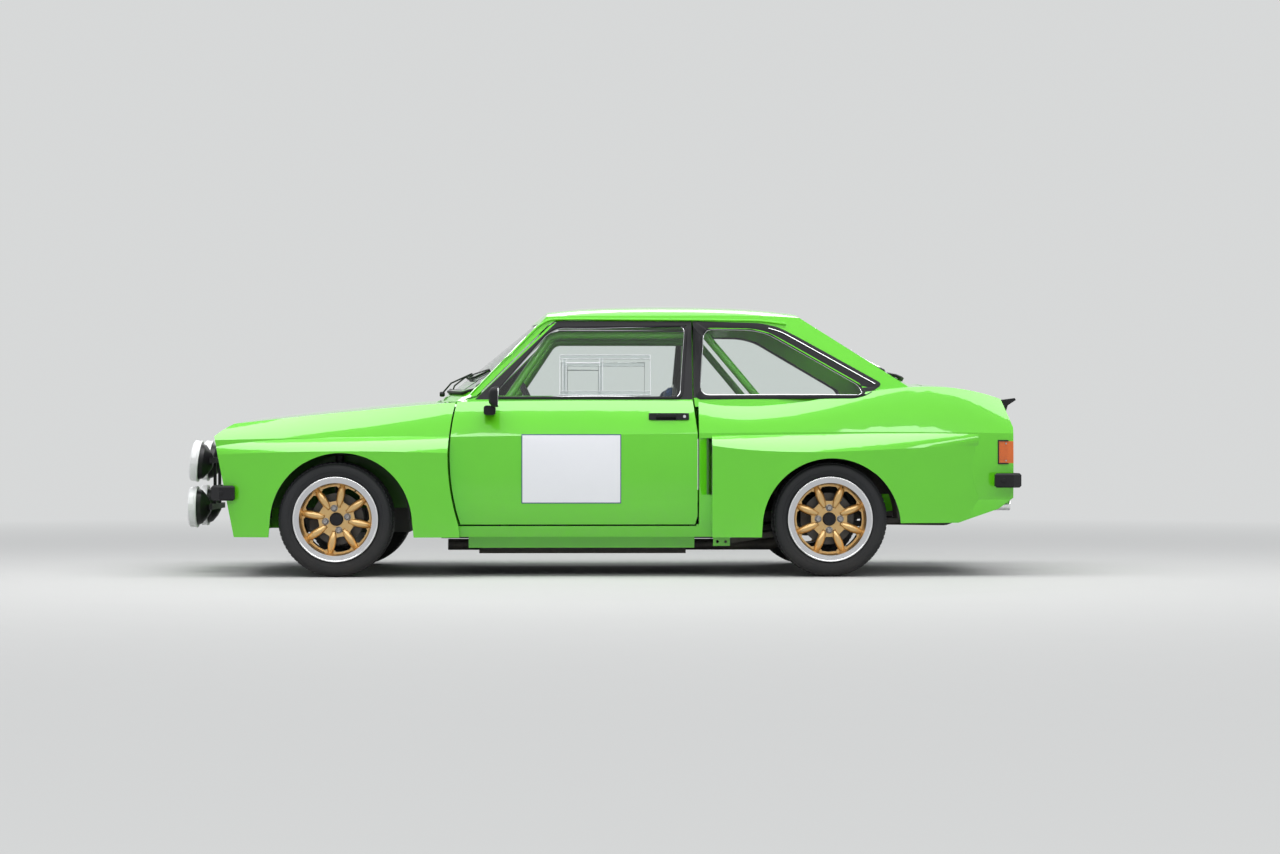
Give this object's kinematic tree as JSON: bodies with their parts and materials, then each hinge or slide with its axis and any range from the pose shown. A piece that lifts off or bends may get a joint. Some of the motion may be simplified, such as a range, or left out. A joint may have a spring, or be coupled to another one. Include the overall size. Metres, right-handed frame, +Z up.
{
  "type": "two-door rally saloon car",
  "caption": "Green two-door 1970s rally saloon with round driving lamps, wide arches, gold alloy wheels, black bumpers, a roll cage and opening doors, bonnet and boot",
  "frame": {"origin": "on the ground below the middle of the overall length and width", "axes": "+X to the tail, +Y to the car's right side, +Z up; the nose points along -X"},
  "size_m": [4.14, 1.8304, 1.35],
  "materials": {
    "paint": "gloss",
    "underside": "matte",
    "glass": "clear",
    "black_trim": "satin",
    "lamp_glass": "clear",
    "orange_lens": "gloss",
    "white_cover": "satin",
    "cloth": "matte",
    "iron": "rough",
    "alloy": "satin",
    "dark_steel": "satin",
    "gold_alloy": "satin",
    "tyre": "matte"
  },
  "bodies": {
    "body": {"body_sides": "paint", "roof_panel": "paint", "front_wings": "paint", "front_panel": "paint", "air_dam": "paint", "grille": "black_trim", "headlamps": "lamp_glass", "fixed_glass": "glass", "rear_panel": "paint", "rear_lamps": "orange_lens", "quarter_bumpers": "black_trim", "spot_lamps": "white_cover", "lamp_carrier": "black_trim", "engine_bay": "underside", "floor_pan": "underside", "boot_floor": "underside", "dashboard": "black_trim", "seats": "cloth", "roll_cage": "paint", "engine": "iron", "radiator": "alloy", "front_crossmember": "dark_steel", "rear_axle": "dark_steel", "leaf_springs": "dark_steel", "exhaust": "dark_steel"},
    "steering_wheel": {"steering_wheel": "black_trim"},
    "bonnet": {"bonnet": "paint"},
    "boot_lid": {"boot_lid": "paint", "boot_spoiler": "black_trim"},
    "door_left": {"door_left": "paint", "door_left_glass": "glass", "door_left_mirror": "black_trim"},
    "strut_left": {"strut_left": "dark_steel"},
    "door_right": {"door_right": "paint", "door_right_glass": "glass", "door_right_mirror": "black_trim"},
    "strut_right": {"strut_right": "dark_steel"},
    "wheel_front_left": {"wheel_front_left": "gold_alloy", "tyre_front_left": "tyre"},
    "wheel_front_right": {"wheel_front_right": "gold_alloy", "tyre_front_right": "tyre"},
    "wheel_rear_left": {"wheel_rear_left": "gold_alloy", "tyre_rear_left": "tyre"},
    "wheel_rear_right": {"wheel_rear_right": "gold_alloy", "tyre_rear_right": "tyre"}
  },
  "joints": [
    {"name": "steering_wheel_turn", "type": "hinge", "parent": "body", "child": "steering_wheel", "pos_m": [-0.33, 0.35, 0.81], "axis": [0.9063, 0, 0.4226], "range_deg": [-540, 540]},
    {"name": "steer_left", "type": "hinge", "parent": "body", "child": "strut_left", "pos_m": [-1.28, -0.56, 0.77], "axis": [0, 0.1488, 0.9889], "range_deg": [-30.5, 30.5]},
    {"name": "steer_right", "type": "hinge", "parent": "body", "child": "strut_right", "pos_m": [-1.28, 0.56, 0.77], "axis": [0, -0.1488, 0.9889], "range_deg": [-30.5, 30.5]},
    {"name": "roll_front_left", "type": "hinge", "parent": "strut_left", "child": "wheel_front_left", "pos_m": [-1.28, -0.715, 0.281], "axis": [0, 1, 0], "continuous": true},
    {"name": "roll_front_right", "type": "hinge", "parent": "strut_right", "child": "wheel_front_right", "pos_m": [-1.28, 0.715, 0.281], "axis": [0, 1, 0], "continuous": true},
    {"name": "roll_rear_left", "type": "hinge", "parent": "body", "child": "wheel_rear_left", "pos_m": [1.127, -0.715, 0.281], "axis": [0, 1, 0], "continuous": true},
    {"name": "roll_rear_right", "type": "hinge", "parent": "body", "child": "wheel_rear_right", "pos_m": [1.127, 0.715, 0.281], "axis": [0, 1, 0], "continuous": true},
    {"name": "open_door_left", "type": "hinge", "parent": "body", "child": "door_left", "pos_m": [-0.709, -0.789, 0.55], "axis": [0, 0, -1], "range_deg": [0, 65]},
    {"name": "open_door_right", "type": "hinge", "parent": "body", "child": "door_right", "pos_m": [-0.709, 0.789, 0.55], "axis": [0, 0, 1], "range_deg": [0, 65]},
    {"name": "open_bonnet", "type": "hinge", "parent": "body", "child": "bonnet", "pos_m": [-0.8, 0, 0.89], "axis": [0, 1, 0], "range_deg": [0, 50]},
    {"name": "open_boot_lid", "type": "hinge", "parent": "body", "child": "boot_lid", "pos_m": [1.604, 0, 0.965], "axis": [0, -1, 0], "range_deg": [0, 70]}
  ],
  "couplings": [
    {"joint": "steer_left", "follows": "steering_wheel_turn", "ratio": 0.0556},
    {"joint": "steer_right", "follows": "steering_wheel_turn", "ratio": 0.0556}
  ]
}
